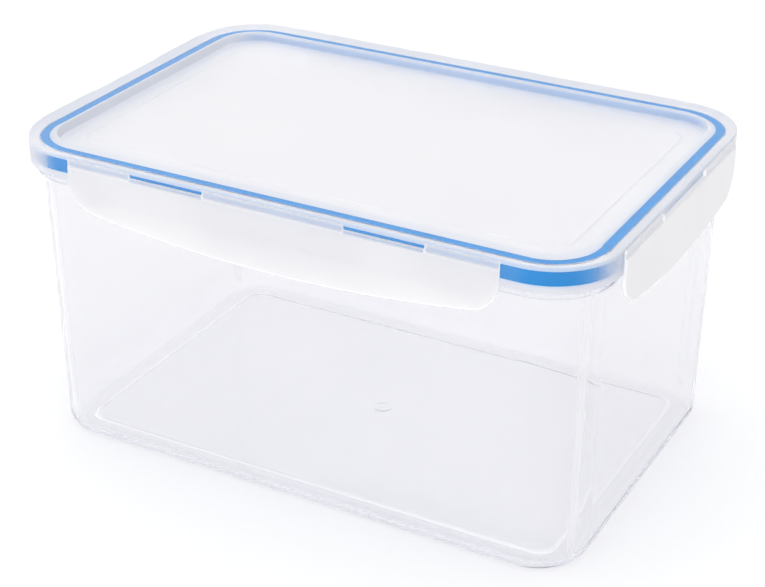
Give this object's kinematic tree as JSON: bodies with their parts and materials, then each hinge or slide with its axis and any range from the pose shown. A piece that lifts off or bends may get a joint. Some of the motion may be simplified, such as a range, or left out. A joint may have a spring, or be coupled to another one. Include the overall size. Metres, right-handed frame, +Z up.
{
  "type": "food storage box with latched lid",
  "caption": "Empty clear plastic food storage box: deep tapered tub, shut lid with a sunken panel, blue seal ring under the rim and hinged side latches.",
  "frame": {"origin": "centre of the base, on the surface that the box stands on", "axes": "+X along the long side, +Y towards the back long side, +Z up through the lid"},
  "size_m": [0.286, 0.197, 0.147],
  "materials": {
    "tub_plastic": "clear, glossy, slightly milky",
    "lid_plastic": "clear, satin, slightly milky",
    "latch_plastic": "clear, satin, slightly milky",
    "seal_rubber": "smooth blue silicone rubber"
  },
  "bodies": {
    "box": {"tub": "tub_plastic", "lid": "lid_plastic", "seal": "seal_rubber"},
    "front_latch": {"latch_front": "latch_plastic"},
    "back_latch": {"latch_back": "latch_plastic"},
    "right_latch": {"latch_right": "latch_plastic"},
    "left_latch": {"latch_left": "latch_plastic"}
  },
  "joints": [
    {"name": "front_hinge", "type": "hinge", "parent": "box", "child": "front_latch", "pos_m": [0, -0.09595, 0.1462], "axis": [-1, 0, 0], "range_deg": [0, 110]},
    {"name": "back_hinge", "type": "hinge", "parent": "box", "child": "back_latch", "pos_m": [0, 0.09595, 0.1462], "axis": [1, 0, 0], "range_deg": [0, 110]},
    {"name": "right_hinge", "type": "hinge", "parent": "box", "child": "right_latch", "pos_m": [0.14045, 0, 0.1462], "axis": [0, -1, 0], "range_deg": [0, 110]},
    {"name": "left_hinge", "type": "hinge", "parent": "box", "child": "left_latch", "pos_m": [-0.14045, 0, 0.1462], "axis": [0, 1, 0], "range_deg": [0, 110]}
  ]
}
